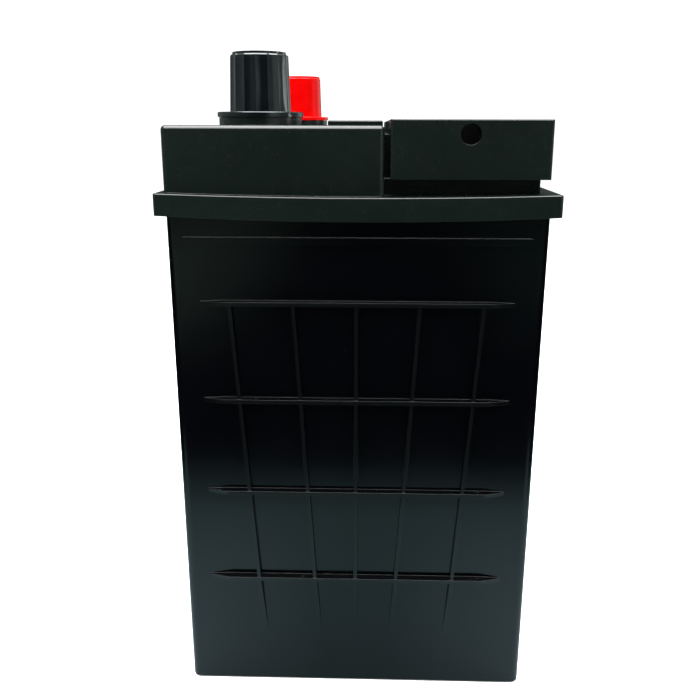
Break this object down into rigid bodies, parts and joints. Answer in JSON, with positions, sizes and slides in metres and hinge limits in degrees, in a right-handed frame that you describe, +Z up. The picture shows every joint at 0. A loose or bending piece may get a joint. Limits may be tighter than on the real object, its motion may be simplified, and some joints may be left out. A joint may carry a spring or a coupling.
{
  "type": "deep cycle battery",
  "caption": "Small flooded deep cycle battery with a ribbed case, two capped tapered terminals and a lift-off vent cover.",
  "frame": {"origin": "middle of the footprint, on the floor", "axes": "+Z up; +Y along the length, from the negative terminal's end to the positive terminal's end; +X across, from the terminals to the vent cover"},
  "size_m": [0.129, 0.197, 0.2245],
  "materials": {
    "case": "glossy moulded polypropylene",
    "lid": "satin moulded polypropylene",
    "cap_black": "glossy soft vinyl",
    "cap_red": "glossy soft vinyl",
    "lead": "dull cast lead alloy",
    "negative_plate": "grey spongy lead",
    "positive_plate": "dark brown lead dioxide",
    "separator": "microporous sheet",
    "gasket": "soft rubber",
    "arrestor": "sintered porous plastic"
  },
  "bodies": {
    "battery": {"container": "case", "lid": "lid", "negative_terminal": "lead", "positive_terminal": "lead", "negative_pillar": "lead", "positive_pillar": "lead", "intercell_welds": "lead", "negative_plates_1": "negative_plate", "positive_plates_1": "positive_plate", "separators_1": "separator", "negative_strap_1": "lead", "positive_strap_1": "lead", "negative_plates_2": "negative_plate", "positive_plates_2": "positive_plate", "separators_2": "separator", "negative_strap_2": "lead", "positive_strap_2": "lead", "negative_plates_3": "negative_plate", "positive_plates_3": "positive_plate", "separators_3": "separator", "negative_strap_3": "lead", "positive_strap_3": "lead", "negative_plates_4": "negative_plate", "positive_plates_4": "positive_plate", "separators_4": "separator", "negative_strap_4": "lead", "positive_strap_4": "lead", "negative_plates_5": "negative_plate", "positive_plates_5": "positive_plate", "separators_5": "separator", "negative_strap_5": "lead", "positive_strap_5": "lead", "negative_plates_6": "negative_plate", "positive_plates_6": "positive_plate", "separators_6": "separator", "negative_strap_6": "lead", "positive_strap_6": "lead"},
    "vent_manifold": {"vent_cover": "lid", "vent_base": "lid", "stopper_gaskets": "gasket", "flame_arrestor_front": "arrestor", "flame_arrestor_rear": "arrestor", "stopper_1": "lid", "stopper_2": "lid", "stopper_3": "lid", "stopper_4": "lid", "stopper_5": "lid", "stopper_6": "lid"},
    "negative_cover": {"negative_cap": "cap_black"},
    "positive_cover": {"positive_cap": "cap_red"}
  },
  "joints": [
    {"name": "vent_cover_lift", "type": "slide", "parent": "battery", "child": "vent_manifold", "axis": [0, 0, 1], "range_m": [0, 0.045]},
    {"name": "negative_cap_pull", "type": "slide", "parent": "battery", "child": "negative_cover", "axis": [0, 0, 1], "range_m": [0, 0.03]},
    {"name": "positive_cap_pull", "type": "slide", "parent": "battery", "child": "positive_cover", "axis": [0, 0, 1], "range_m": [0, 0.03]}
  ]
}
